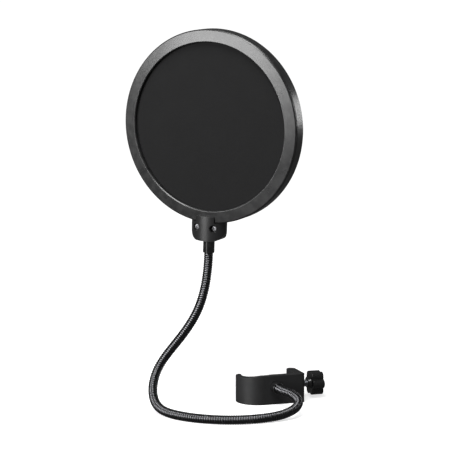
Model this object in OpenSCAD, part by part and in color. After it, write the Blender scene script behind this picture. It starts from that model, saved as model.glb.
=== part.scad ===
// Round pop shield on a gooseneck with a screw clamp.
// +Z is up, z = 0 is the plane that the clamp and the neck lie on.
// The origin is the middle of the gripped tube. The clamp screw lies along +X.
// The screen is drawn upright at its own origin, then turned onto the top of the neck.

/* [Screen] */
// Outer diameter of the screen rings
ring_d = 152; // [140:1:160]
// Clear diameter inside the rings
hole_d = 132; // [124:1:134]
// Total thickness of the two rings
ring_t = 15.5; // [14:0.5:18]
// Height of the screen's centre above the end of the neck
ring_rise = 98; // [94:0.5:104]

/* [Saddle] */
// Width of the saddle that joins the rings to the neck
saddle_w = 30; // [26:0.2:31]
// Proud height of the saddle in front of the middle plane
saddle_bulge = 9.8; // [9.2:0.1:12]
// Distance of each saddle screw from the middle
screw_x = 7.6; // [7.6:0.1:8.6]
// Height of the saddle screws above the end of the neck
screw_z = 18; // [16.5:0.5:18.5]

/* [Gooseneck] */
// Outer radius of the wound hose
neck_r = 3.7; // [3:0.1:4]
// Flat sides of the plain hose solids
neck_sides = 12; // [8:1:16]
// Gap between two lengths of hose at a bend
bend_gap = 0.6; // [0.5:0.1:1]
// Lean of the screen towards the front, in degrees
head_lean = 5.5; // [4:0.5:7]
// Turn of the screen about the neck, in degrees
head_turn = -46; // [-60:1:-30]

/* [Clamp] */
// Height of the clamp body
clamp_h = 24; // [22:1:26]
// Radius of the tube that the lined jaw is shaped for
grip_r = 12; // [11.5:0.1:12]
// Outer radius of the hooked jaw
hook_r = 18; // [17.5:0.5:18.5]
// Distance from the grip axis to the outer face of the screw block
block_x = 35.5; // [33:0.5:36]
// Thickness of the screw block along the screw
block_t = 8; // [7:0.5:9]

/* [Screw and knob] */
// Radius of the clamp screw
screw_r = 2.95; // [2.92:0.01:2.98]
// Outer radius of the star knob
knob_r = 10.4; // [9:0.1:11]
// Number of lobes on the knob
lobes = 6; // [5:1:8]
// Radius of the round pressure pad
pad_r = 8; // [7:0.5:9]
// Distance from the grip axis to the face of the pad
pad_x = 12.3; // [11.5:0.1:12.3]

/* [Hidden] */
$fn = 96;

ring_r = ring_d / 2;
hole_r = hole_d / 2;
half_t = ring_t / 2;
edge = 0.8;              // chamfer on the rings
rib_r = ring_r - 2;      // inside of the outer wall
hoop_r = ring_r - 4.4;   // outside of the spacer hoop and edge of the cloth
cloth_t = 0.4;           // thickness of one cloth
cloth_y = 4.4;           // inner face of each cloth from the middle plane
plate_y = 5;             // inner face of each ring's flange

saddle_foot = 7.6;       // bottom of the saddle above the end of the neck
saddle_top = 27.5;
foot_round = 9;          // round of the two bottom corners
bulge_r = 18;            // radius of the saddle's rounded front
bore_floor = 4.8;        // depth of the screw heads' seats from the middle plane
stud_r = 3.2;

liner_t = 1.5;
jaw_r = grip_r + liner_t;
spine_in = -12;          // inner face of the spine
jaw_tip = 162;           // angle at which the hooked jaw ends
screw_h = clamp_h / 2;   // height of the clamp screw
block_in = block_x - block_t;
insert_r = 4.6;
hub_l = 2.5;             // length of the knob's hub
knob_x = 46;             // where the knob's lobes begin
knob_t = 10;
cap_r = 5.1;
screw_end = 53;          // end of the screw inside the knob
neck_x = 9;              // where the neck leaves the spine
neck_h = 15;
ferrule_y = -27;         // front end of the base ferrule

// Middle line of the neck as the points of a smooth curve, from the clamp to the screen
lean_step = 12 * [0, -sin(head_lean), cos(head_lean)];
neck_end = [-49, -22.3, 131.5];
route = [[9, -11.5, 15], [9, -23.5, 15], [9, -35.5, 15], [14, -48, 14.5],
    [16, -61, 10], [2, -72, 5], [-20, -77, 3.7], [-46, -75, 3.7],
    [-68, -63, 3.7], [-84, -45, 3.7], [-93, -22, 4.5], [-92, -3, 16],
    [-84, 7, 32], [-74, 2, 47], [-65, -8, 62], [-56, -16, 80],
    [-51, -20, 100], neck_end - lean_step, neck_end, neck_end + lean_step];
cuts = [0, 3, 6, 9, 12, 15, 17];  // where the lengths of hose meet, counted along the curve

// A place on the neck, its direction and its speed, at u along the curve
function basis(t) = [(1 - t) ^ 3, 3 * t ^ 3 - 6 * t ^ 2 + 4, -3 * t ^ 3 + 3 * t ^ 2 + 3 * t + 1, t ^ 3] / 6;
function slope(t) = [-(1 - t) ^ 2, 3 * t ^ 2 - 4 * t, -3 * t ^ 2 + 2 * t + 1, t ^ 2] / 2;
function span(u) = min(floor(u), len(route) - 4);
function four(u) = [for (k = [0:3]) route[span(u) + k]];
function place(u) = basis(u - span(u)) * four(u);
function speed(u) = norm(slope(u - span(u)) * four(u));
function heading(u) = slope(u - span(u)) * four(u) / speed(u);

// Carries a side direction along the hose without twist
function sides(dirs, k = 0, last = [1, 0, 0]) = k == len(dirs) ? [] :
    let (flat = last - dirs[k] * (last * dirs[k]), now = flat / norm(flat))
    concat([now], sides(dirs, k + 1, now));

// One length of hose from u = a to u = b, with a round end wherever another length follows
module hose(a, b, round_a, round_b) {
    reach = neck_r + bend_gap / 2;
    ua = round_a ? a + reach / speed(a) : a;
    ub = round_b ? b - reach / speed(b) : b;
    steps = ceil((ub - ua) * 4);
    dome = [20, 42, 62, 80];
    rows = concat(
        round_a ? [for (k = [3:-1:0]) [ua, -sin(dome[k]), cos(dome[k])]] : [],
        [for (k = [0:steps]) [ua + (ub - ua) * k / steps, 0, 1]],
        round_b ? [for (d = dome) [ub, sin(d), cos(d)]] : []);
    dirs = [for (row = rows) heading(row[0])];
    across = sides(dirs);
    skin = [for (k = [0:len(rows) - 1], j = [0:neck_sides - 1])
        let (turn = 360 * j / neck_sides, up = cross(dirs[k], across[k]))
        place(rows[k][0]) + neck_r * (rows[k][1] * dirs[k]
            + rows[k][2] * (cos(turn) * across[k] + sin(turn) * up))];
    last = (len(rows) - 1) * neck_sides;
    walls = [for (k = [0:len(rows) - 2], j = [0:neck_sides - 1])
        let (p = k * neck_sides + j, q = k * neck_sides + (j + 1) % neck_sides)
        [p, p + neck_sides, q + neck_sides, q]];
    ends = [[for (j = [0:neck_sides - 1]) j], [for (j = [neck_sides - 1:-1:0]) last + j]];
    color([0.07, 0.07, 0.07]) polyhedron(points = skin, faces = concat(walls, ends));
}

module on_neck() {
    translate(neck_end) rotate([head_lean, 0, 0]) rotate([0, 0, head_turn]) children();
}

// Turns a profile of radius and height into a ring whose height points to the front
module faced(profile) {
    on_neck() translate([0, 0, ring_rise]) rotate([90, 0, 0]) rotate_extrude($fn = 180) polygon(profile);
}

module along_x(x) {
    translate([x, 0, screw_h]) rotate([0, 90, 0]) children();
}

module arc_wall(r_in, r_out, from, to) {
    rotate([0, 0, from]) rotate_extrude(angle = to - from) translate([r_in, 0]) children();
}

// Clamp

module clamp_outline() {
    corner = 3;
    block_y = 5; // where the block's round end begins
    difference() {
        union() {
            circle(r = hook_r);
            translate([0, -hook_r]) square([block_x - corner, hook_r + spine_in]);
            translate([block_in, corner - hook_r]) square([block_t, hook_r + block_y - corner]);
            translate([block_x - corner, corner - hook_r]) circle(r = corner);
            translate([block_in + block_t / 2, block_y]) circle(r = block_t / 2);
        }
        circle(r = jaw_r);
        translate([0, spine_in]) square([block_in, 60]);
        polygon([[0, 0], 60 * [cos(jaw_tip), sin(jaw_tip)], [-60, 60], [1, 60], [1, 0]]);
    }
    rotate([0, 0, jaw_tip]) translate([(jaw_r + hook_r) / 2, 0]) circle(r = (hook_r - jaw_r) / 2 - 0.1);
}

module clamp_body() {
    color([0.16, 0.16, 0.17]) difference() {
        linear_extrude(clamp_h) clamp_outline();
        // The top of the hooked jaw falls towards its tip
        translate([0, 30, 0]) rotate([90, 0, 0]) linear_extrude(60)
            polygon([[5, clamp_h + 1], [-30, clamp_h - 4], [-30, clamp_h + 1]]);
        along_x(block_in - 1) cylinder(r = insert_r, h = block_t + 2);
        translate([neck_x, 0, neck_h]) rotate([90, 0, 0]) {
            translate([0, 0, 10]) cylinder(r = 2.05, h = 10);
            translate([0, 0, -spine_in - 0.01]) cylinder(r1 = 3.5, r2 = 2.05, h = 1.5);
        }
    }
}

module jaw_liner() {
    color([0.1, 0.1, 0.1]) arc_wall(grip_r, jaw_r, jaw_tip + 2, 290)
        square([liner_t, clamp_h - 4]);
}

module thread_insert() {
    color([0.72, 0.58, 0.3]) along_x(block_in) difference() {
        cylinder(r = insert_r, h = block_t);
        translate([0, 0, -1]) cylinder(r = screw_r + 0.07, h = block_t + 2);
    }
}

module anchor_screw() {
    color([0.7, 0.7, 0.72]) translate([neck_x, 0, neck_h]) rotate([90, 0, 0]) {
        difference() {
            translate([0, 0, 0.1 - spine_in]) cylinder(r1 = 3.4, r2 = 2, h = 1.4);
            translate([0, 0, -spine_in]) cylinder(r = 1.3, h = 0.9, $fn = 6);
        }
        translate([0, 0, 1.5 - spine_in]) cylinder(r = 2, h = 9);
    }
}

module base_ferrule() {
    color([0.08, 0.08, 0.08]) translate([neck_x, -hook_r, neck_h]) rotate([90, 0, 0]) difference() {
        cylinder(r = 4.6, h = -ferrule_y - hook_r);
        translate([0, 0, -1]) cylinder(r = 2, h = 6);
        translate([0, 0, 5.4]) cylinder(r = neck_r + 0.05, h = 10);
    }
}

// Neck, in six lengths

module neck_1() { hose(cuts[0], cuts[1], false, true); }
module neck_2() { hose(cuts[1], cuts[2], true, true); }
module neck_3() { hose(cuts[2], cuts[3], true, true); }
module neck_4() { hose(cuts[3], cuts[4], true, true); }
module neck_5() { hose(cuts[4], cuts[5], true, true); }
module neck_6() { hose(cuts[5], cuts[6], true, false); }

// Pad, screw and knob

module pressure_pad() {
    color([0.14, 0.14, 0.15]) along_x(pad_x + 1.5) difference() {
        union() {
            cylinder(r = pad_r, h = 3);
            cylinder(r = 5.2, h = 6.5);
        }
        translate([0, 0, 1]) cylinder(r = 2.55, h = 10);
        translate([0, 0, 4.8]) cylinder(r = 4.1, h = 10);
    }
}

module pad_facing() {
    color([0.08, 0.08, 0.08]) along_x(pad_x) cylinder(r = pad_r, h = 1.5);
}

module tip_clip() {
    color([0.75, 0.75, 0.77]) along_x(pad_x + 6.4) difference() {
        cylinder(r = 4, h = 0.8);
        translate([0, 0, -1]) cylinder(r = 2.05, h = 3);
        translate([-1.2, 0, -1]) cube([2.4, 10, 3]);
    }
}

module clamp_screw() {
    tip_r = 2.5;
    groove_r = 2;
    color([0.62, 0.62, 0.64]) {
        along_x(pad_x + 2.6) cylinder(r = tip_r, h = 3.7);
        along_x(pad_x + 6.3) cylinder(r = groove_r, h = 1);
        along_x(pad_x + 7.3) cylinder(r = tip_r, h = 1.2);
        along_x(pad_x + 8.5) cylinder(r = screw_r, h = screw_end - pad_x - 8.5);
    }
}

module star(r) {
    lobe = r * 0.27;
    circle(r = r * 0.78);
    for (k = [0:lobes - 1]) rotate(360 * (k + 0.5) / lobes) translate([r - lobe, 0]) circle(r = lobe);
}

module knob() {
    color([0.05, 0.05, 0.05]) difference() {
        union() {
            along_x(knob_x - hub_l) cylinder(r1 = 4.2, r2 = 5.2, h = hub_l + 0.5);
            along_x(knob_x) linear_extrude(knob_t) star(knob_r);
        }
        along_x(knob_x - hub_l - 1) cylinder(r = screw_r, h = screw_end - knob_x + hub_l + 1);
        along_x(knob_x + knob_t - 1) cylinder(r = cap_r + 0.1, h = 3);
    }
}

module knob_cap() {
    color([0.1, 0.1, 0.1]) along_x(knob_x + knob_t - 1) {
        cylinder(r = cap_r, h = 1.2);
        translate([0, 0, 1.2]) cylinder(r1 = cap_r, r2 = cap_r - 2, h = 1.3);
    }
}

// Top of the neck

module top_ferrule() {
    color([0.08, 0.08, 0.08]) on_neck() difference() {
        translate([0, 0, -3]) cylinder(r = 4.6, h = 10);
        translate([0, 0, -4]) cylinder(r = neck_r + 0.05, h = 4);
        translate([0, 0, 2]) cylinder(r = stud_r, h = 10);
    }
}

module swivel_stud() {
    color([0.6, 0.6, 0.62]) on_neck() {
        translate([0, 0, 2]) cylinder(r = stud_r, h = 18);
        translate([0, 0, 12]) cylinder(r = 5, h = 2);
    }
}

module friction_washer() {
    color([0.75, 0.75, 0.77]) on_neck() translate([0, 0, 7.05]) difference() {
        cylinder(r = 4.8, h = 0.5);
        translate([0, 0, -1]) cylinder(r = stud_r + 0.1, h = 3);
    }
}

// Screen

module front_ring() {
    seam = half_t - 3;
    color([0.17, 0.17, 0.18]) faced([[hole_r, plate_y], [hole_r, half_t - edge],
        [hole_r + edge, half_t], [ring_r - edge, half_t], [ring_r, half_t - edge], [ring_r, seam],
        [rib_r - 0.1, seam], [rib_r - 0.1, 1], [rib_r - 2, 1], [rib_r - 2, plate_y]]);
}

module rear_ring() {
    seam = half_t - 3.1;
    color([0.13, 0.13, 0.14]) faced([[hole_r, -plate_y], [hole_r, edge - half_t],
        [hole_r + edge, -half_t], [ring_r - edge, -half_t], [ring_r, edge - half_t],
        [ring_r, seam], [rib_r, seam], [rib_r, -plate_y]]);
}

module mesh_hoop() {
    color([0.1, 0.1, 0.1]) faced([[hoop_r - 2.2, -cloth_y], [hoop_r, -cloth_y],
        [hoop_r, cloth_y], [hoop_r - 2.2, cloth_y]]);
}

module cloth(y) {
    color([0.12, 0.12, 0.13]) faced([[0, y], [hoop_r, y], [hoop_r, y + cloth_t], [0, y + cloth_t]]);
}

module front_mesh() { cloth(cloth_y); }
module rear_mesh() { cloth(-cloth_y - cloth_t); }

// Saddle

module saddle_face() {
    half_w = saddle_w / 2;
    translate([-half_w, saddle_foot + foot_round]) square([saddle_w, saddle_top - saddle_foot - foot_round]);
    translate([foot_round - half_w, saddle_foot]) square([saddle_w - 2 * foot_round, foot_round + 1]);
    for (side = [-1, 1]) translate([side * (half_w - foot_round), saddle_foot + foot_round])
        circle(r = foot_round);
}

// Half of the saddle, in front of the middle plane
module saddle_half() {
    difference() {
        intersection() {
            rotate([90, 0, 0]) linear_extrude(20) saddle_face();
            translate([0, bulge_r - saddle_bulge, 0]) cylinder(r = bulge_r, h = 40);
        }
        translate([0, 1, ring_rise]) rotate([90, 0, 0]) cylinder(r = ring_r + 0.1, h = half_t + 1.1, $fn = 180);
        cylinder(r = stud_r + 0.05, h = 21);
        translate([0, 0, 11.9]) cylinder(r = 5.1, h = 2.2);
        for (side = [-1, 1]) translate([side * screw_x, 1, screw_z]) rotate([90, 0, 0])
            cylinder(r = 1.55, h = 20);
    }
}

module saddle_front() {
    color([0.17, 0.17, 0.18]) on_neck() difference() {
        saddle_half();
        for (side = [-1, 1]) translate([side * screw_x, -bore_floor, screw_z]) rotate([90, 0, 0])
            cylinder(r = 3, h = 10);
    }
}

module saddle_rear() {
    color([0.14, 0.14, 0.15]) on_neck() rotate([0, 0, 180]) difference() {
        saddle_half();
        for (side = [-1, 1]) translate([side * screw_x, -bore_floor, screw_z]) rotate([90, 0, 0])
            cylinder(r = 3.2, h = 10, $fn = 6);
    }
}

module saddle_screws() {
    color([0.8, 0.8, 0.82]) on_neck() for (side = [-1, 1])
        translate([side * screw_x, -bore_floor, screw_z]) rotate([90, 0, 0]) {
            translate([0, 0, -12]) cylinder(r = 1.5, h = 12);
            difference() {
                cylinder(r = 2.7, h = 1.6);
                for (a = [0, 90]) rotate([0, 0, a]) translate([-1.6, -0.35, 0.8]) cube([3.2, 0.7, 2]);
            }
        }
}

module saddle_nuts() {
    color([0.75, 0.75, 0.77]) on_neck() for (side = [-1, 1])
        translate([side * screw_x, bore_floor, screw_z]) rotate([-90, 0, 0]) difference() {
            cylinder(r = 3.1, h = 2.2, $fn = 6);
            translate([0, 0, -1]) cylinder(r = 1.52, h = 5);
        }
}

clamp_body();
jaw_liner();
thread_insert();
anchor_screw();
base_ferrule();
neck_1();
neck_2();
neck_3();
neck_4();
neck_5();
neck_6();
pressure_pad();
pad_facing();
tip_clip();
clamp_screw();
knob();
knob_cap();
top_ferrule();
swivel_stud();
friction_washer();
front_ring();
rear_ring();
mesh_hoop();
front_mesh();
rear_mesh();
saddle_front();
saddle_rear();
saddle_screws();
saddle_nuts();
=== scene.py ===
import math
import bmesh
import bpy
from mathutils import Matrix, Vector
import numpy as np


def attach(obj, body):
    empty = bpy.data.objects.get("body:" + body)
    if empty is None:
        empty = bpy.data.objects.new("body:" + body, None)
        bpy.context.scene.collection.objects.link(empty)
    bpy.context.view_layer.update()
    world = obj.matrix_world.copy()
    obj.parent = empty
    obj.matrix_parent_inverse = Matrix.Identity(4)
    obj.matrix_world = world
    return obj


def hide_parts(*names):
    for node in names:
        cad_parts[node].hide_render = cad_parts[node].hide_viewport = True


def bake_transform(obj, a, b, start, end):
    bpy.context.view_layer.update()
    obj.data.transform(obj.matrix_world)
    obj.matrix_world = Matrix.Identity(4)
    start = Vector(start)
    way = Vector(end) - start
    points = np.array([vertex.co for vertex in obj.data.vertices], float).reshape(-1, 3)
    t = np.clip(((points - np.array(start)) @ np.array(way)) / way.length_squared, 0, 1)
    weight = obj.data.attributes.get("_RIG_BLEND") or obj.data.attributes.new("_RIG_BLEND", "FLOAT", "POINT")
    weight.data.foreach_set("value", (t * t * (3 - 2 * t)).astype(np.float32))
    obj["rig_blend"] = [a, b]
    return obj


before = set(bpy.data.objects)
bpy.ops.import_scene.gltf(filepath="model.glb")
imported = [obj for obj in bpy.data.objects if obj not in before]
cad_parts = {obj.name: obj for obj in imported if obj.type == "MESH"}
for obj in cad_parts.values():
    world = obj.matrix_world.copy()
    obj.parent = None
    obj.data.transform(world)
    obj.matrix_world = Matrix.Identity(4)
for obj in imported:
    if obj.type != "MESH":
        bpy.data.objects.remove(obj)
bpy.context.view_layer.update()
nothing = Matrix.Identity(4)

# Shared tools

def say(text):
    print("stage:", text)


def turned(degrees, axis):
    return Matrix.Rotation(math.radians(degrees), 4, axis)


def moved(x, y, z):
    return Matrix.Translation((x, y, z))


def newShape():
    bm = bmesh.new()
    bm.verts.layers.float.new("edge")  # 1 where a moulded edge is handled and rubbed
    return bm


def roundEdges(bm, edges, width, segments=3):
    worn = bm.verts.layers.float["edge"]
    made = bmesh.ops.bevel(bm, geom=list(edges), offset=width, offset_type="OFFSET", affect="EDGES",
                           segments=segments, profile=0.5, clamp_overlap=True, material=-1)
    fresh = set(made["faces"])
    for vert in made["verts"]:
        if vert.is_valid and all(face in fresh for face in vert.link_faces):
            vert[worn] = 1.0


def sharpEdges(bm, degrees=30):
    limit = math.radians(degrees)
    return [e for e in bm.edges if len(e.link_faces) == 2 and e.calc_face_angle() > limit]


def mergeClose(bm, distance=1e-6):
    bmesh.ops.remove_doubles(bm, verts=bm.verts[:], dist=distance)


def makeObject(name, bm, place=nothing):
    mergeClose(bm)
    bmesh.ops.recalc_face_normals(bm, faces=bm.faces[:])
    bmesh.ops.transform(bm, matrix=place, verts=bm.verts[:])
    mesh = bpy.data.meshes.new(name)
    bm.to_mesh(mesh)
    bm.free()
    obj = bpy.data.objects.new(name, mesh)
    bpy.context.scene.collection.objects.link(obj)
    return obj


def applyModifiers(obj):
    bpy.context.view_layer.update()
    graph = bpy.context.evaluated_depsgraph_get()
    mesh = bpy.data.meshes.new_from_object(obj.evaluated_get(graph))
    obj.modifiers.clear()
    obj.data = mesh


def combine(obj, other, operation="DIFFERENCE"):
    cut = obj.modifiers.new("combine", "BOOLEAN")
    cut.operation = operation
    cut.solver = "EXACT"
    cut.object = other
    applyModifiers(obj)
    bpy.data.objects.remove(other)


def rod(name, radius, length, place, segments=64, farRadius=None):
    # A plain rod from the origin along +Z, for cutting
    bm = newShape()
    bmesh.ops.create_cone(bm, cap_ends=True, segments=segments, radius1=radius,
                          radius2=radius if farRadius is None else farRadius, depth=length)
    bmesh.ops.translate(bm, verts=bm.verts[:], vec=(0, 0, length / 2))
    return makeObject(name, bm, place)


def lathe(name, outline, place, rounding=0.0, steps=96, isClosed=True):
    # Spins an outline of (radius, height) about Z; an open outline starts and ends on the axis
    bm = newShape()
    corners = [bm.verts.new((point[0], 0, point[1])) for point in outline]
    last = len(corners) if isClosed else len(corners) - 1
    for k in range(last):
        bm.edges.new((corners[k], corners[(k + 1) % len(corners)]))
    inner = corners if isClosed else corners[1:-1]
    soft = [v for v, point in zip(corners, outline) if v in inner and (len(point) < 3 or point[2] > 0)]
    if rounding > 0:
        worn = bm.verts.layers.float["edge"]
        made = bmesh.ops.bevel(bm, geom=soft, offset=rounding, offset_type="OFFSET", affect="VERTICES",
                               segments=4, profile=0.5, clamp_overlap=True, material=-1)
        for vert in made["verts"]:
            if vert.is_valid:
                vert[worn] = 0.6
    bmesh.ops.spin(bm, geom=bm.verts[:] + bm.edges[:], axis=(0, 0, 1), cent=(0, 0, 0),
                   angle=math.tau, steps=steps, use_merge=True)
    return makeObject(name, bm, place)


def drawLine(bm, points):
    # An open line of (radius, height) in the XZ plane, for spinning
    line = [bm.verts.new((r, 0, z)) for r, z in points]
    for a, b in zip(line, line[1:]):
        bm.edges.new((a, b))
    return line


def windUp(bm, pitch, turns, perTurn):
    # Spins a drawn line into a helix about Z and closes its ends
    bmesh.ops.spin(bm, geom=bm.verts[:] + bm.edges[:], axis=(0, 0, 1), cent=(0, 0, 0),
                   dvec=(0, 0, pitch / perTurn), angle=math.tau * turns, steps=turns * perTurn,
                   use_merge=False)
    mergeClose(bm)
    bmesh.ops.recalc_face_normals(bm, faces=bm.faces[:])
    bmesh.ops.holes_fill(bm, edges=[e for e in bm.edges if e.is_boundary], sides=0)


def raiseFaces(bm, step):
    # Extrudes all faces into a solid and returns the vertices that moved
    made = bmesh.ops.extrude_face_region(bm, geom=bm.faces[:], use_keep_orig=True)["geom"]
    lifted = [v for v in made if isinstance(v, bmesh.types.BMVert)]
    bmesh.ops.translate(bm, verts=lifted, vec=step)
    return lifted


def arcPoints(centre, radius, fromDegrees, toDegrees, step):
    count = max(2, round(abs(toDegrees - fromDegrees) / step))
    angles = [math.radians(fromDegrees + (toDegrees - fromDegrees) * k / count) for k in range(count + 1)]
    return [(centre[0] + radius * math.cos(a), centre[1] + radius * math.sin(a)) for a in angles]


def settle(obj, material, body, stands=(), angle=38, weighted=True):
    mesh = obj.data
    mesh.materials.clear()
    mesh.materials.append(material)
    mesh.shade_smooth()
    mesh.set_sharp_from_angle(angle=math.radians(angle))
    if weighted:
        even = obj.modifiers.new("evenShading", "WEIGHTED_NORMAL")
        even.keep_sharp = True
    if body:
        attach(obj, body)
    if stands:
        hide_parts(*stands)
    return obj


# Materials

def addNode(tree, kind, settings=None, inputs=None):
    node = tree.nodes.new(kind)
    for name, value in (settings or {}).items():
        setattr(node, name, value)
    for name, value in (inputs or {}).items():
        if isinstance(value, bpy.types.NodeSocket):
            tree.links.new(value, node.inputs[name])
        else:
            node.inputs[name].default_value = value
    return node


def startMaterial(name, fixed):
    material = bpy.data.materials.new(name)
    material.use_nodes = True
    tree = material.node_tree
    shader = tree.nodes["Principled BSDF"]
    for socket, value in fixed.items():
        shader.inputs[socket].default_value = value
    return material, tree, shader


def noise(tree, where, size, detail=3.0, roughness=0.55):
    inputs = {"Vector": where, "Scale": 1 / size, "Detail": detail, "Roughness": roughness}
    return addNode(tree, "ShaderNodeTexNoise", None, inputs).outputs["Fac"]


def between(tree, value, low, high, fromLow=0.3, fromHigh=0.7):
    return addNode(tree, "ShaderNodeMapRange", None,
                   {"Value": value, "From Min": fromLow, "From Max": fromHigh,
                    "To Min": low, "To Max": high}).outputs["Result"]


def mixColors(tree, share, first, second):
    node = addNode(tree, "ShaderNodeMix", {"data_type": "RGBA"}, {0: share, 6: first, 7: second})
    return node.outputs[2]


def times(tree, a, b):
    return addNode(tree, "ShaderNodeMath", {"operation": "MULTIPLY"}, {0: a, 1: b}).outputs[0]


def grey(value, tint=1.0):
    return (value, value, value * tint, 1.0)


def objectSpace(tree):
    return addNode(tree, "ShaderNodeTexCoord").outputs["Object"]


def edgeWear(tree, where, size):
    rubbed = addNode(tree, "ShaderNodeAttribute", {"attribute_name": "edge"}).outputs["Fac"]
    patches = between(tree, noise(tree, where, size, 4.0), 0.0, 1.0, 0.42, 0.62)
    return times(tree, rubbed, patches)


def mouldedPlastic(name, look):
    fixed = {"Specular IOR Level": look.get("gloss", 0.5), "Coat Weight": look.get("coat", 0.0),
             "Coat Roughness": look.get("coatRoughness", 0.1)}
    material, tree, shader = startMaterial(name, fixed)
    where = objectSpace(tree)
    dull = noise(tree, where, look["cloudSize"], 4.0)
    body = mixColors(tree, between(tree, dull, 0.0, 1.0), grey(look["dark"], 1.03), grey(look["light"], 1.03))
    wear = edgeWear(tree, where, look["wearSize"])
    tree.links.new(mixColors(tree, wear, body, grey(look["worn"])), shader.inputs["Base Color"])
    tree.links.new(between(tree, noise(tree, where, look["cloudSize"] * 0.4, 5.0),
                           look["roughness"] - look["spread"], look["roughness"] + look["spread"]),
                   shader.inputs["Roughness"])
    grain = noise(tree, where, look["grainSize"], 2.0)
    bump = addNode(tree, "ShaderNodeBump", None,
                   {"Strength": look["grain"], "Distance": look["grainSize"] * 0.5, "Height": grain})
    tree.links.new(bump.outputs["Normal"], shader.inputs["Normal"])
    return material


def turnedMetal(name, look):
    fixed = {"Metallic": 1.0, "Specular IOR Level": 0.5}
    material, tree, shader = startMaterial(name, fixed)
    where = objectSpace(tree)
    tarnish = between(tree, noise(tree, where, look["cloudSize"], 4.0), 0.0, 1.0)
    tree.links.new(mixColors(tree, tarnish, look["color"], look["tarnish"]), shader.inputs["Base Color"])
    tree.links.new(between(tree, noise(tree, where, look["cloudSize"] * 0.3, 5.0),
                           look["roughness"] - 0.07, look["roughness"] + 0.09), shader.inputs["Roughness"])
    marks = noise(tree, where, look["grainSize"], 2.0)
    bump = addNode(tree, "ShaderNodeBump", None,
                   {"Strength": look["grain"], "Distance": look["grainSize"] * 0.4, "Height": marks})
    tree.links.new(bump.outputs["Normal"], shader.inputs["Normal"])
    return material


def hoseSteel():
    look = {"groove": 0.003, "crown": 0.13, "rubbed": 0.3, "roughness": 0.2, "patch": 0.006}
    material, tree, shader = startMaterial("blackNickelHose", {"Metallic": 1.0})
    where = objectSpace(tree)
    crown = addNode(tree, "ShaderNodeAttribute", {"attribute_name": "crown"}).outputs["Fac"]
    # Base colour runs from the wire's black nickel tone on the crowns to near black in the grooves: painted
    # shade in the grooves between the turns. The lighter bare crowns mixed in below are rubbed wear.
    crownToneAndGrooveShade = mixColors(tree, crown, grey(look["groove"]), grey(look["crown"], 1.05))
    bare = times(tree, between(tree, crown, 0.0, 1.0, 0.85, 1.0),
                 between(tree, noise(tree, where, look["patch"], 5.0), 0.0, 0.7, 0.55, 0.75))
    tree.links.new(mixColors(tree, bare, crownToneAndGrooveShade, grey(look["rubbed"])), shader.inputs["Base Color"])
    tree.links.new(between(tree, noise(tree, where, 0.004, 5.0), look["roughness"] - 0.06,
                           look["roughness"] + 0.12), shader.inputs["Roughness"])
    bump = addNode(tree, "ShaderNodeBump", None, {"Strength": 0.12, "Distance": 0.0001,
                                                  "Height": noise(tree, where, 0.0006, 3.0)})
    tree.links.new(bump.outputs["Normal"], shader.inputs["Normal"])
    return material


def knitCloth():
    look = {"cell": 0.0007, "rowShare": 0.866, "yarn": 0.008, "gap": 0.003, "depth": 0.00012}
    material, tree, shader = startMaterial("nylonKnit", {"Roughness": 0.82, "Specular IOR Level": 0.25,
                                                        "Sheen Weight": 0.04, "Sheen Roughness": 0.5})
    flat = addNode(tree, "ShaderNodeUVMap", {"uv_map": "flatCloth"}).outputs["UV"]
    parts = addNode(tree, "ShaderNodeSeparateXYZ", None, {"Vector": flat})
    turns = math.tau / look["cell"]
    rows = addNode(tree, "ShaderNodeMath", {"operation": "SINE"}, {0: times(tree, parts.outputs["X"], turns)})
    columns = addNode(tree, "ShaderNodeMath", {"operation": "SINE"},
                      {0: times(tree, parts.outputs["Y"], turns * look["rowShare"])})
    weave = times(tree, rows.outputs[0], columns.outputs[0])
    height = between(tree, weave, 0.0, 1.0, -0.5, 0.6)
    drift = between(tree, noise(tree, flat, 0.02, 3.0), 0.85, 1.1)
    yarn = addNode(tree, "ShaderNodeVectorMath", {"operation": "SCALE"},
                   {0: (look["yarn"], look["yarn"], look["yarn"] * 1.08), "Scale": drift})
    tree.links.new(mixColors(tree, height, grey(look["gap"]), yarn.outputs["Vector"]),
                   shader.inputs["Base Color"])
    bump = addNode(tree, "ShaderNodeBump", None,
                   {"Strength": 0.5, "Distance": look["depth"], "Height": height})
    tree.links.new(bump.outputs["Normal"], shader.inputs["Normal"])
    return material


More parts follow.
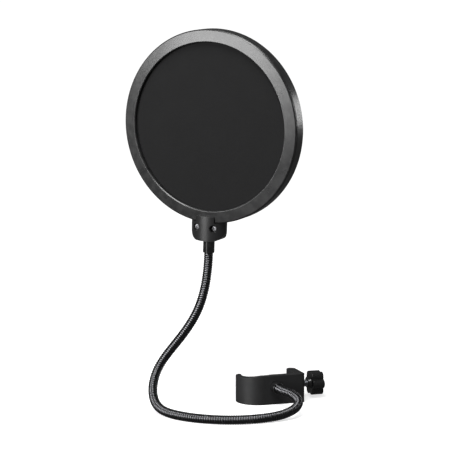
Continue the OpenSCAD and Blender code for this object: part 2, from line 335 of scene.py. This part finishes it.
finishes = {
    "rings": mouldedPlastic("satinRingPlastic", {
        "dark": 0.012, "light": 0.015, "worn": 0.035, "roughness": 0.28, "spread": 0.012, "gloss": 0.6,
        "cloudSize": 0.05, "wearSize": 0.006, "grainSize": 0.0004, "grain": 0.12}),
    "saddle": mouldedPlastic("saddlePlastic", {
        "dark": 0.013, "light": 0.017, "worn": 0.04, "roughness": 0.3, "spread": 0.02, "gloss": 0.6,
        "cloudSize": 0.014, "wearSize": 0.003, "grainSize": 0.0003, "grain": 0.15}),
    "clamp": mouldedPlastic("grainedClampPlastic", {
        "dark": 0.018, "light": 0.023, "worn": 0.05, "roughness": 0.5, "spread": 0.03, "gloss": 0.45,
        "cloudSize": 0.014, "wearSize": 0.004, "grainSize": 0.00045, "grain": 0.4}),
    "knob": mouldedPlastic("glossKnobPlastic", {
        "dark": 0.014, "light": 0.018, "worn": 0.03, "roughness": 0.27, "spread": 0.03, "gloss": 0.7,
        "cloudSize": 0.01, "wearSize": 0.003, "grainSize": 0.0006, "grain": 0.05}),
    "ferrule": mouldedPlastic("glossBlackPaint", {
        "dark": 0.004, "light": 0.006, "worn": 0.03, "roughness": 0.13, "spread": 0.03, "gloss": 0.7,
        "coat": 0.6, "coatRoughness": 0.05, "cloudSize": 0.008, "wearSize": 0.002,
        "grainSize": 0.0008, "grain": 0.03}),
    "rubber": mouldedPlastic("softRubber", {
        "dark": 0.012, "light": 0.018, "worn": 0.04, "roughness": 0.82, "spread": 0.08, "gloss": 0.25,
        "cloudSize": 0.009, "wearSize": 0.003, "grainSize": 0.0005, "grain": 0.5}),
    "zinc": turnedMetal("zincSteel", {
        "color": (0.56, 0.57, 0.6, 1.0), "tarnish": (0.44, 0.45, 0.47, 1.0), "roughness": 0.32,
        "cloudSize": 0.004, "grainSize": 0.0003, "grain": 0.15}),
    "bright": turnedMetal("brightScrewSteel", {
        "color": (0.24, 0.24, 0.25, 1.0), "tarnish": (0.16, 0.16, 0.17, 1.0), "roughness": 0.46,
        "cloudSize": 0.003, "grainSize": 0.0003, "grain": 0.1}),
    "brass": turnedMetal("turnedBrass", {
        "color": (0.78, 0.56, 0.26, 1.0), "tarnish": (0.55, 0.38, 0.17, 1.0), "roughness": 0.3,
        "cloudSize": 0.004, "grainSize": 0.0003, "grain": 0.15}),
    "hose": hoseSteel(),
    "cloth": knitCloth(),
}
say("materials made")

# Where the head stands on the neck, and where the clamp screw lies

head = {
    "neckEnd": (-0.049, -0.0223, 0.1315),
    "lean": 5.5,
    "turn": -46.0,
    "ringRise": 0.098,
}
onNeck = moved(*head["neckEnd"]) @ turned(head["lean"], "X") @ turned(head["turn"], "Z")
onRing = onNeck @ moved(0, 0, head["ringRise"]) @ turned(90, "X")
screwHeight = 0.012


def onScrew(x):
    return moved(x, 0, screwHeight) @ turned(90, "Y")


# The gooseneck: a wound steel hose

neck = {
    "route": [(0.009, -0.0115, 0.015), (0.009, -0.0235, 0.015), (0.009, -0.0355, 0.015),
              (0.014, -0.048, 0.0145), (0.016, -0.061, 0.010), (0.002, -0.072, 0.005),
              (-0.020, -0.077, 0.0037), (-0.046, -0.075, 0.0037), (-0.068, -0.063, 0.0037),
              (-0.084, -0.045, 0.0037), (-0.093, -0.022, 0.0045), (-0.092, -0.003, 0.016),
              (-0.084, 0.007, 0.032), (-0.074, 0.002, 0.047), (-0.065, -0.008, 0.062),
              (-0.056, -0.016, 0.080), (-0.051, -0.020, 0.100)],
    "bends": [3, 6, 9, 12, 15],      # where the bodies meet, counted along the route
    "end": 17,
    "bodies": ["clamp", "neck_2_length", "neck_3_length", "neck_4_length", "neck_5_length", "neck_6_length"],
    "radius": 0.0037,
    "pitch": 0.0019,
    "grooveDepth": 0.0006,
    "crownPower": 2.4,
    "outlineSteps": 8,
    "stepsPerTurn": 28,
    "bendReach": 0.018,
}


def neckRoute():
    lean = math.radians(head["lean"])
    step = 0.012 * Vector((0, -math.sin(lean), math.cos(lean)))
    end = Vector(head["neckEnd"])
    return [Vector(p) for p in neck["route"]] + [end - step, end, end + step]


def alongRoute(points, u):
    # Place and direction on a smooth curve that the points pull into shape
    span = min(int(u), len(points) - 4)
    t = u - span
    pull = ((1 - t) ** 3, 3 * t ** 3 - 6 * t ** 2 + 4, -3 * t ** 3 + 3 * t ** 2 + 3 * t + 1, t ** 3)
    rise = (-(1 - t) ** 2, 3 * t ** 2 - 4 * t, -3 * t ** 2 + 2 * t + 1, t ** 2)
    place = sum((pull[k] * points[span + k] for k in range(4)), Vector()) / 6
    slope = sum((rise[k] * points[span + k] for k in range(4)), Vector()) / 2
    return place, slope.normalized()


def walkRoute():
    # Stations along the neck with their distance and their two side directions
    points = neckRoute()
    perSpan = 60
    stations = []
    travelled = 0.0
    side = Vector((1, 0, 0))
    before = None
    for k in range(neck["end"] * perSpan + 1):
        place, direction = alongRoute(points, k / perSpan)
        travelled += (place - before).length if before else 0.0
        before = place
        side = (side - side.dot(direction) * direction).normalized()
        stations.append((travelled, place, direction, side, direction.cross(side)))
    return stations, perSpan


def atDistance(stations, distance):
    low = 0
    high = len(stations) - 1
    while high - low > 1:
        middle = (low + high) // 2
        if stations[middle][0] <= distance:
            low = middle
        else:
            high = middle
    share = (distance - stations[low][0]) / (stations[high][0] - stations[low][0])
    return [stations[low][k].lerp(stations[high][k], share) for k in (1, 2, 3, 4)]


def windHose(firstTurn, lastTurn, pitch, stations, name):
    bm = newShape()
    crownLayer = bm.verts.layers.float.new("crown")
    count = neck["outlineSteps"]
    falls = [abs(2 * k / count - 1) ** neck["crownPower"] for k in range(count + 1)]
    wire = drawLine(bm, [(neck["radius"] - neck["grooveDepth"] * fall, (firstTurn + k / count) * pitch)
                         for k, fall in enumerate(falls)])
    for vert, fall in zip(wire, falls):
        vert[crownLayer] = 1 - fall
    windUp(bm, pitch, lastTurn - firstTurn, neck["stepsPerTurn"])
    for vert in bm.verts:
        place, direction, side, up = atDistance(stations, vert.co.z)
        vert.co = place + vert.co.x * side + vert.co.y * up
    return makeObject(name, bm)


def makeNeck():
    stations, perSpan = walkRoute()
    length = stations[-1][0]
    joints = [stations[u * perSpan][0] for u in neck["bends"]]
    turns = round(length / neck["pitch"]) - 1
    pitch = length / (turns + 1)
    seams = [0] + [round((a + b) / 2 / pitch) for a, b in zip(joints, joints[1:])] + [turns]
    for k, joint in enumerate(joints):
        hose = windHose(seams[k], seams[k + 1], pitch, stations, f"gooseneckHose{k + 1}")
        settle(hose, finishes["hose"], None, angle=180, weighted=False)
        start = atDistance(stations, joint - neck["bendReach"])[0]
        end = atDistance(stations, joint + neck["bendReach"])[0]
        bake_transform(hose, neck["bodies"][k], neck["bodies"][k + 1], start=start, end=end)
        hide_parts(*(["neck_1"] if k == 0 else []), f"neck_{k + 2}")
    say(f"gooseneck wound, {length * 1000:.1f} mm in {turns + 1} turns")


makeNeck()

# The screen: two rings, a hoop and two cloths

screen = {
    "ringRadius": 0.076,
    "holeRadius": 0.066,
    "halfThick": 0.00775,
    "faceFall": 0.0012,      # how far the bezel falls towards its outer edge
    "edge": 0.0008,
    "lip": 0.0007,           # chamfer at the hole
    "seamFront": 0.00475,
    "seamRear": 0.00465,
    "flangeInside": 0.005,
    "ribRadius": 0.074,
    "clothRadius": 0.0716,
    "clothInner": 0.0044,
    "clothThick": 0.0003,
    "hoopWall": 0.0022,
    "steps": 192,
}


def makeRings():
    s = screen
    outer, hole, top, fall = s["ringRadius"], s["holeRadius"], s["halfThick"], s["faceFall"]
    front = lathe("frontRing", [
        (hole, s["flangeInside"]), (hole, top - s["lip"]), (hole + s["lip"], top),
        (outer - s["edge"], top - fall), (outer, top - fall - s["edge"]), (outer, s["seamFront"] + 0.0003),
        (outer - 0.0003, s["seamFront"]), (s["ribRadius"] - 0.0001, s["seamFront"]),
        (s["ribRadius"] - 0.0001, 0.001), (s["ribRadius"] - 0.002, 0.001),
        (s["ribRadius"] - 0.002, s["flangeInside"])], onRing, 0.00025, s["steps"])
    settle(front, finishes["rings"], "screen", ["front_ring"], 24)
    rear = lathe("rearRing", [
        (hole, -s["flangeInside"]), (hole, s["lip"] - top), (hole + s["lip"], -top),
        (outer - s["edge"], fall - top), (outer, fall + s["edge"] - top), (outer, s["seamRear"] - 0.0003),
        (outer - 0.0003, s["seamRear"]), (s["ribRadius"], s["seamRear"]),
        (s["ribRadius"], -s["flangeInside"])],
        onRing, 0.00025, s["steps"])
    settle(rear, finishes["rings"], "screen", ["rear_ring"], 24)
    r = s["clothRadius"]
    hoop = lathe("meshHoop", [
        (r - s["hoopWall"], -s["clothInner"]), (r, -s["clothInner"]), (r, s["clothInner"]),
        (r - s["hoopWall"], s["clothInner"])], onRing, 0.0004, 144)
    settle(hoop, finishes["saddle"], "screen", ["mesh_hoop"])


def makeCloth(name, node, side):
    # A disc of knit, drawn tight over the hoop
    s = screen
    bm = newShape()
    rings = 12
    drawLine(bm, [(s["clothRadius"] * k / rings, 0) for k in range(rings + 1)])
    bmesh.ops.spin(bm, geom=bm.verts[:] + bm.edges[:], axis=(0, 0, 1), cent=(0, 0, 0),
                   angle=math.tau, steps=96, use_merge=True)
    mergeClose(bm)
    flat = bm.loops.layers.uv.new("flatCloth")
    for face in bm.faces:
        for loop in face.loops:
            loop[flat].uv = loop.vert.co.xy
    bmesh.ops.recalc_face_normals(bm, faces=bm.faces[:])
    raiseFaces(bm, (0, 0, s["clothThick"]))
    up = s["clothInner"] if side > 0 else -s["clothInner"] - s["clothThick"]
    cloth = makeObject(name, bm, onRing @ moved(0, 0, up))
    settle(cloth, finishes["cloth"], "screen", [node], weighted=False)


makeRings()
makeCloth("frontCloth", "front_mesh", 1)
makeCloth("rearCloth", "rear_mesh", -1)
say("screen built")

# The saddle: two halves, two screws and two nuts

saddle = {
    "width": 0.030,
    "foot": 0.0076,
    "top": 0.0275,
    "footRound": 0.009,
    "topRound": 0.0012,
    "bulge": 0.0098,
    "bulgeRadius": 0.018,
    "screwX": 0.0076,
    "screwZ": 0.018,
    "boreFloor": 0.0048,
    "boreRadius": 0.003,
    "pocketRadius": 0.0032,
    "rounding": 0.0007,
    "studRadius": 0.0032,
}


def atSaddleScrew(side):
    # Out of the saddle's front at one of its screws
    return moved(side * saddle["screwX"], -saddle["boreFloor"], saddle["screwZ"]) @ turned(90, "X")


def makeSaddleHalf(name, node, about, pocketSides, pocketRadius):
    s = saddle
    half = s["width"] / 2
    bm = newShape()
    low, high = s["foot"] + s["footRound"], s["top"] - s["topRound"]
    reach, topReach = half - s["footRound"], half - s["topRound"]
    outline = (arcPoints((-reach, low), s["footRound"], 180, 270, 6)
               + arcPoints((reach, low), s["footRound"], 270, 360, 6)
               + arcPoints((topReach, high), s["topRound"], 0, 90, 30)
               + arcPoints((-topReach, high), s["topRound"], 90, 180, 30))
    bm.faces.new([bm.verts.new((x, 0, z)) for x, z in outline])
    raiseFaces(bm, (0, -0.02, 0))
    block = makeObject(name, bm)
    drum = rod("drum", s["bulgeRadius"], 0.05, moved(0, s["bulgeRadius"] - s["bulge"], -0.005), 160)
    combine(block, drum, "INTERSECT")
    bm = bmesh.new()
    bm.from_mesh(block.data)
    mergeClose(bm, 2e-6)
    if "edge" not in bm.verts.layers.float:
        bm.verts.layers.float.new("edge")
    rim = [e for e in sharpEdges(bm, 35) if min(v.co.y for v in e.verts) < -1e-4]
    roundEdges(bm, rim, s["rounding"], 4)
    bm.to_mesh(block.data)
    bm.free()
    ring = rod("ring", screen["ringRadius"] + 0.0001, screen["halfThick"] + 0.0011,
               moved(0, 0.001, head["ringRise"]) @ turned(90, "X"), 240)
    combine(block, ring)
    combine(block, rod("bore", s["studRadius"] + 0.00005, 0.022, moved(0, 0, -0.001)))
    combine(block, rod("collar", 0.0051, 0.0022, moved(0, 0, 0.0119)))
    for side in (-1, 1):
        combine(block, rod("hole", 0.00155, 0.03, atSaddleScrew(side) @ moved(0, 0, -0.01), 32))
        combine(block, rod("pocket", pocketRadius, 0.01, atSaddleScrew(side), pocketSides))
    block.data.transform(onNeck @ turned(about, "Z"))
    settle(block, finishes["saddle"], "screen", [node], 30)


def makeSaddleScrews():
    look = {"headRadius": 0.0025, "headHeight": 0.0016, "shaftRadius": 0.0015, "shaft": 0.012,
            "crossLength": 0.0034, "crossWidth": 0.0006, "crossDepth": 0.001}
    both = []
    for side in (-1, 1):
        r, h, shaft = look["headRadius"], look["headHeight"], look["shaftRadius"]
        screw = lathe("saddleScrew", [
            (0, -look["shaft"]), (shaft * 0.8, -look["shaft"]), (shaft, -look["shaft"] + 0.0004), (shaft, 0),
            (r, 0), (r, h * 0.55), (r * 0.72, h * 0.92), (0, h)], nothing, 0.0002, 40, False)
        for spin in (0, 90):
            bm = newShape()
            bmesh.ops.create_cube(bm, size=1)
            bmesh.ops.scale(bm, verts=bm.verts[:],
                            vec=(look["crossLength"], look["crossWidth"], look["crossDepth"] * 2))
            for vert in bm.verts:
                if vert.co.z < 0:
                    vert.co.x *= 0.55  # the cross narrows towards its floor
            combine(screw, makeObject("cross", bm, moved(0, 0, h) @ turned(spin + 20 * side, "Z")))
        screw.data.transform(onNeck @ atSaddleScrew(side))
        both.append(screw)
    return joinObjects(both, "saddleScrews")


def joinObjects(objects, name):
    bm = bmesh.new()
    for obj in objects:
        bm.from_mesh(obj.data)
    mesh = bpy.data.meshes.new(name)
    bm.to_mesh(mesh)
    bm.free()
    for obj in objects:
        bpy.data.objects.remove(obj)
    joined = bpy.data.objects.new(name, mesh)
    bpy.context.scene.collection.objects.link(joined)
    return joined


def makeSaddleNuts():
    look = {"radius": 0.0031, "height": 0.0022, "bore": 0.00152, "rounding": 0.0003}
    both = []
    for side in (-1, 1):
        bm = newShape()
        bmesh.ops.create_cone(bm, cap_ends=True, segments=6, radius1=look["radius"], radius2=look["radius"],
                              depth=look["height"])
        bmesh.ops.translate(bm, verts=bm.verts[:], vec=(0, 0, look["height"] / 2))
        roundEdges(bm, bm.edges[:], look["rounding"] * 0.5, 2)
        nut = makeObject("nut", bm)
        combine(nut, rod("bore", look["bore"], 0.01, moved(0, 0, -0.002), 32))
        nut.data.transform(onNeck @ moved(side * saddle["screwX"], saddle["boreFloor"], saddle["screwZ"])
                           @ turned(-90, "X"))
        both.append(nut)
    return joinObjects(both, "saddleNuts")


makeSaddleHalf("saddleFront", "saddle_front", 0, 48, saddle["boreRadius"])
makeSaddleHalf("saddleRear", "saddle_rear", 180, 6, saddle["pocketRadius"])
settle(makeSaddleScrews(), finishes["bright"], "screen", ["saddle_screws"], 30)
settle(makeSaddleNuts(), finishes["zinc"], "screen", ["saddle_nuts"], 30)
say("saddle built")

# The fittings at the two ends of the hose

fitting = {
    "ferruleRadius": 0.0046,
    "hoseHole": 0.00375,
    "studRadius": 0.0032,
}


def makeFittings():
    f = fitting
    top = lathe("topFerrule", [
        (f["hoseHole"], 0), (f["hoseHole"], -0.003), (f["ferruleRadius"], -0.003),
        (f["ferruleRadius"], 0.007), (f["studRadius"], 0.007), (f["studRadius"], 0.002), (0.001, 0.002),
        (0.001, 0)],
        onNeck, 0.00035, 72)
    settle(top, finishes["ferrule"], "neck_6_length", ["top_ferrule"])
    stud = lathe("swivelStud", [
        (0, 0.002), (f["studRadius"] - 0.0003, 0.002), (f["studRadius"], 0.0023), (f["studRadius"], 0.012),
        (0.005, 0.012), (0.005, 0.014), (f["studRadius"], 0.014), (f["studRadius"], 0.0194),
        (f["studRadius"] - 0.0006, 0.02), (0, 0.02)], onNeck, 0.0002, 64, False)
    settle(stud, finishes["zinc"], "neck_6_length", ["swivel_stud"])
    washer = lathe("frictionWasher", [
        (f["studRadius"] + 0.0001, 0.00705), (0.0048, 0.00705), (0.0048, 0.00755),
        (f["studRadius"] + 0.0001, 0.00755)], onNeck, 0.0001, 64)
    settle(washer, finishes["bright"], "screen", ["friction_washer"])
    base = moved(0.009, -0.018, 0.015) @ turned(90, "X")
    sleeve = lathe("baseFerrule", [
        (0.002, 0), (f["ferruleRadius"], 0), (f["ferruleRadius"], 0.009), (f["hoseHole"], 0.009),
        (f["hoseHole"], 0.0054), (0.002, 0.0054)], base, 0.0004, 72)
    settle(sleeve, finishes["ferrule"], "clamp", ["base_ferrule"])


makeFittings()
say("fittings built")

# The clamp: hooked jaw, spine and screw block in one moulding

clamp = {
    "height": 0.024,
    "hookRadius": 0.018,
    "jawRadius": 0.0135,
    "gripRadius": 0.012,
    "tipAngle": 162,
    "tipRound": 0.00215,
    "spineInside": -0.012,
    "blockIn": 0.0275,
    "blockOut": 0.0355,
    "blockEnd": 0.005,       # where the block's round end begins
    "nearCorner": 0.003,
    "fallFrom": -0.002,      # where the top begins to fall towards the tip of the hook
    "fall": 1 / 7,
    "rounding": 0.0009,
    "insertRadius": 0.0046,
    "arcStep": 4,
}


def clampOutline():
    c = clamp
    tip = math.radians(c["tipAngle"])
    middle = (c["jawRadius"] + c["hookRadius"]) / 2
    tipCentre = (middle * math.cos(tip), middle * math.sin(tip))
    bite = math.degrees(math.acos(-c["spineInside"] / c["jawRadius"]))
    near = (c["blockOut"] - c["nearCorner"], c["nearCorner"] - c["hookRadius"])
    half = (c["blockOut"] - c["blockIn"]) / 2
    return (arcPoints((0, 0), c["hookRadius"], 270, c["tipAngle"] + 1, c["arcStep"])
            + arcPoints(tipCentre, c["tipRound"], c["tipAngle"] - 8, c["tipAngle"] - 172, 15)
            + arcPoints((0, 0), c["jawRadius"], c["tipAngle"] + 1, 270 + bite, c["arcStep"])
            + arcPoints((c["blockIn"] - 0.0015, c["spineInside"] + 0.0015), 0.0015, -90, 0, 22)
            + arcPoints((c["blockIn"] + half, c["blockEnd"]), half, 180, 0, 12)
            + arcPoints(near, c["nearCorner"], 0, -90, 15))


def makeClampBody():
    c = clamp
    bm = newShape()
    bm.faces.new([bm.verts.new((x, y, 0)) for x, y in clampOutline()])
    bmesh.ops.bisect_plane(bm, geom=bm.verts[:] + bm.edges[:] + bm.faces[:], dist=1e-6,
                           plane_co=(c["fallFrom"], 0, 0), plane_no=(1, 0, 0))
    for vert in raiseFaces(bm, (0, 0, c["height"])):
        vert.co.z = c["height"] - c["fall"] * max(0, c["fallFrom"] - vert.co.x)
    bmesh.ops.recalc_face_normals(bm, faces=bm.faces[:])
    bmesh.ops.dissolve_limit(bm, angle_limit=0.002, verts=bm.verts[:], edges=bm.edges[:])
    roundEdges(bm, sharpEdges(bm, 30), c["rounding"], 3)
    body = makeObject("clampBody", bm)
    combine(body, rod("insertHole", c["insertRadius"], 0.02, onScrew(c["blockIn"] - 0.004)))
    anchor = moved(0.009, 0, 0.015) @ turned(90, "X")
    combine(body, rod("anchorHole", 0.00205, 0.01, anchor @ moved(0, 0, 0.010), 40))
    combine(body, rod("countersink", 0.0035, 0.0015, anchor @ moved(0, 0, 0.01199), 48, 0.00205))
    settle(body, finishes["clamp"], "clamp", ["clamp_body"], 30)


makeClampBody()
say("clamp body built")


def makeLiner():
    # Rubber with shallow grooves, bent round the inside of the jaw
    c = clamp
    look = {"from": 164, "to": 290, "foot": 0.0, "top": 0.020, "grooves": 5, "groove": 0.0004}
    bm = newShape()
    inside, outside = c["gripRadius"], c["jawRadius"]
    step = (look["top"] - look["foot"]) / look["grooves"]
    outline = [(outside, look["foot"])]
    for k in range(look["grooves"]):
        low = look["foot"] + step * k
        outline += [(inside, low + (0.0004 if k else 0)), (inside, low + step - 0.0004),
                    (inside + look["groove"], low + step)]
    outline = outline[:-1] + [(inside, look["top"]), (outside, look["top"])]
    corners = [bm.verts.new((r, 0, z)) for r, z in outline]
    bm.faces.new(corners)
    start = Matrix.Rotation(math.radians(look["from"]), 3, "Z")
    bmesh.ops.rotate(bm, verts=bm.verts[:], cent=(0, 0, 0), matrix=start)
    bmesh.ops.spin(bm, geom=bm.faces[:], axis=(0, 0, 1), cent=(0, 0, 0),
                   angle=math.radians(look["to"] - look["from"]), steps=36, use_merge=False)
    liner = makeObject("jawLiner", bm)
    settle(liner, finishes["rubber"], "clamp", ["jaw_liner"], 50, weighted=False)


makeLiner()

# The clamp screw, its knob and its pad

grip = {
    "padFace": 0.0123,
    "padRadius": 0.008,
    "screwRadius": 0.00295,
    "threadPitch": 0.001,
    "threadDepth": 0.00055,
    "threadFrom": 0.0218,
    "threadTo": 0.0500,
    "threadSteps": 32,
    "knobRadius": 0.0104,
    "knobFrom": 0.046,
    "knobThick": 0.010,
    "hubLength": 0.0025,
    "lobes": 6,
    "capRadius": 0.0051,
}


def makePad():
    g = grip
    place = onScrew(g["padFace"] + 0.0015)
    pad = lathe("pressurePad", [
        (0, 0), (g["padRadius"], 0), (g["padRadius"], 0.0022), (g["padRadius"] - 0.0012, 0.003),
        (0.0056, 0.0034), (0.0052, 0.0042), (0.0052, 0.0065), (0.0041, 0.0065), (0.0041, 0.0048),
        (0.00255, 0.0048), (0.00255, 0.001), (0, 0.001)], place, 0.0002, 72, False)
    settle(pad, finishes["clamp"], "pad", ["pressure_pad"])
    rings = 5
    width = g["padRadius"] / rings
    outline = [(0, 0.0015), (g["padRadius"], 0.0015), (g["padRadius"], 0.0003)]
    for k in range(rings - 1, 0, -1):
        outline += [(k * width + 0.0007, 0), (k * width + 0.0004, 0), (k * width + 0.0002, 0.0004),
                    (k * width, 0)]
    outline += [(0, 0)]
    facing = lathe("padFacing", outline, onScrew(g["padFace"]), 0, 72, False)
    settle(facing, finishes["rubber"], "pad", ["pad_facing"], 50)


def makeScrew():
    g = grip
    tip = [(0, 0.0026), (0.0022, 0.0026), (0.0025, 0.0029), (0.0025, 0.0063), (0.002, 0.0063),
           (0.002, 0.0073), (0.0025, 0.0073), (0.0025, 0.0085), (0.0029, 0.0095), (0.0024, 0.0100),
           (0.0024, 0.0407), (0, 0.0407)]
    core = lathe("clampScrewCore", tip, onScrew(g["padFace"]), 0, 48, False)
    root = g["screwRadius"] - g["threadDepth"]
    pitch = g["threadPitch"]
    shape = [(root, 0), (g["screwRadius"] - 0.00005, 0.42), (g["screwRadius"], 0.5),
             (g["screwRadius"] - 0.00005, 0.58), (root, 1)]
    bm = newShape()
    drawLine(bm, [(r, h * pitch) for r, h in shape])
    windUp(bm, pitch, int((g["threadTo"] - g["threadFrom"]) / pitch) - 1, g["threadSteps"])
    thread = makeObject("clampScrewThread", bm, onScrew(g["threadFrom"]))
    screw = joinObjects([core, thread], "clampScrew")
    settle(screw, finishes["zinc"], "screw", ["clamp_screw"], 50, weighted=False)


def makeKnob():
    g = grip
    look = {"lobeDepth": 0.0026, "lobePower": 0.85, "rounding": 0.0019, "sides": 144}
    bm = newShape()
    bmesh.ops.create_circle(bm, cap_ends=True, segments=look["sides"], radius=g["knobRadius"])
    for vert in bm.verts:
        angle = math.atan2(vert.co.y, vert.co.x)
        swell = abs(math.sin(angle * g["lobes"] / 2)) ** look["lobePower"]
        vert.co *= (g["knobRadius"] - look["lobeDepth"] * (1 - swell)) / g["knobRadius"]
    raiseFaces(bm, (0, 0, g["knobThick"]))
    bmesh.ops.recalc_face_normals(bm, faces=bm.faces[:])
    roundEdges(bm, sharpEdges(bm, 60), look["rounding"], 5)
    knob = makeObject("knobBody", bm, onScrew(g["knobFrom"]))
    capPlace = onScrew(g["knobFrom"] + g["knobThick"] - 0.001)
    combine(knob, rod("capSeat", g["capRadius"] + 0.0001, 0.003, capPlace))
    hub = lathe("knobHub", [
        (0.0031, -g["hubLength"]), (0.0042, -g["hubLength"]), (0.0052, 0.0004), (0.0052, 0.002),
        (0.0031, 0.002)],
        onScrew(g["knobFrom"]), 0.0004, 64)
    whole = joinObjects([knob, hub], "starKnob")
    settle(whole, finishes["knob"], "screw", ["knob"], 40)
    cap = lathe("knobCap", [
        (0, 0), (g["capRadius"], 0), (g["capRadius"], 0.0012), (g["capRadius"] - 0.0018, 0.0021),
        (0.0015, 0.0025), (0, 0.0025)], capPlace, 0.0003, 64, False)
    settle(cap, finishes["knob"], "screw", ["knob_cap"], 40)


makePad()
makeScrew()
makeKnob()
say("screw, knob and pad built")

# Frame nodes that stay as they are

carried = {
    "thread_insert": ("brass", "brass"),
    "anchor_screw": ("bright", "steel"),
    "tip_clip": ("bright", "steel"),
}
for node, (finish, slot) in carried.items():
    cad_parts[node].data.materials.clear()
    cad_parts[node].data.materials.append(finishes[finish])

# Floor, light and camera

studio = {
    "floorRadius": 4.0,
    "floorGlow": 0.66,
    "ambient": 0.09,
    "aim": (-0.0394, -0.0345, 0.1513),
    "azimuth": -18.0,
    "elevation": 6.4,
    "distance": 1.24,
    "lens": 125.8,
}


def makeFloor():
    # Glows enough to stay white beyond the shadows, and is left out of reflections
    bm = newShape()
    bmesh.ops.create_circle(bm, cap_ends=True, segments=96, radius=studio["floorRadius"])
    floor = makeObject("floor", bm, moved(0, 0, -0.00005))
    material, tree, shader = startMaterial("paleFloor", {
        "Base Color": grey(0.86), "Roughness": 0.9, "Specular IOR Level": 0.1, "Emission Color": grey(1.0)})
    away = addNode(tree, "ShaderNodeVectorMath", {"operation": "LENGTH"}, {0: objectSpace(tree)})
    tree.links.new(between(tree, away.outputs["Value"], studio["floorGlow"], 1.0, 0.15, 0.8),
                   shader.inputs["Emission Strength"])
    floor.data.materials.append(material)
    floor.visible_glossy = False
    floor.visible_diffuse = False
    floor.visible_shadow = False


def makeWorld():
    # White behind the object, dim in its reflections
    world = bpy.data.worlds.new("studioWorld")
    bpy.context.scene.world = world
    world.use_nodes = True
    tree = world.node_tree
    seen = addNode(tree, "ShaderNodeLightPath").outputs["Is Camera Ray"]
    background = tree.nodes["Background"]
    background.inputs["Color"].default_value = (1, 1, 1, 1)
    tree.links.new(between(tree, seen, studio["ambient"], 1.05, 0, 1), background.inputs["Strength"])


def softbox(name, place, aim, size, power):
    light = bpy.data.lights.new(name, "AREA")
    light.shape = "RECTANGLE"
    light.size, light.size_y = size
    light.energy = power
    lamp = bpy.data.objects.new(name, light)
    bpy.context.scene.collection.objects.link(lamp)
    lamp.location = place
    lamp.rotation_euler = (Vector(aim) - Vector(place)).to_track_quat("-Z", "Y").to_euler()


def makeCamera():
    s = studio
    a, e = math.radians(s["azimuth"]), math.radians(s["elevation"])
    back = Vector((math.sin(a) * math.cos(e), -math.cos(a) * math.cos(e), math.sin(e)))
    camera = bpy.data.cameras.new("camera")
    camera.lens = s["lens"]
    camera.sensor_width = 36
    camera.clip_start = 0.01
    holder = bpy.data.objects.new("camera", camera)
    bpy.context.scene.collection.objects.link(holder)
    holder.location = Vector(s["aim"]) + back * s["distance"]
    holder.rotation_euler = (-back).to_track_quat("-Z", "Y").to_euler()
    bpy.context.scene.camera = holder


makeFloor()
makeWorld()
makeCamera()
softbox("overhead", (-0.3, -0.4, 1.0), (-0.04, -0.03, 0.15), (0.5, 0.5), 9)
softbox("left", (-0.85, -0.32, 0.31), (-0.05, -0.03, 0.26), (0.5, 0.5), 8)
softbox("leftLow", (-0.84, -0.36, -0.08), (-0.05, -0.03, 0.13), (0.26, 0.28), 0.3)
softbox("right", (0.68, 0.23, 0.32), (-0.05, -0.03, 0.25), (0.2, 0.2), 0.8)
bpy.context.scene.view_settings.view_transform = "Standard"
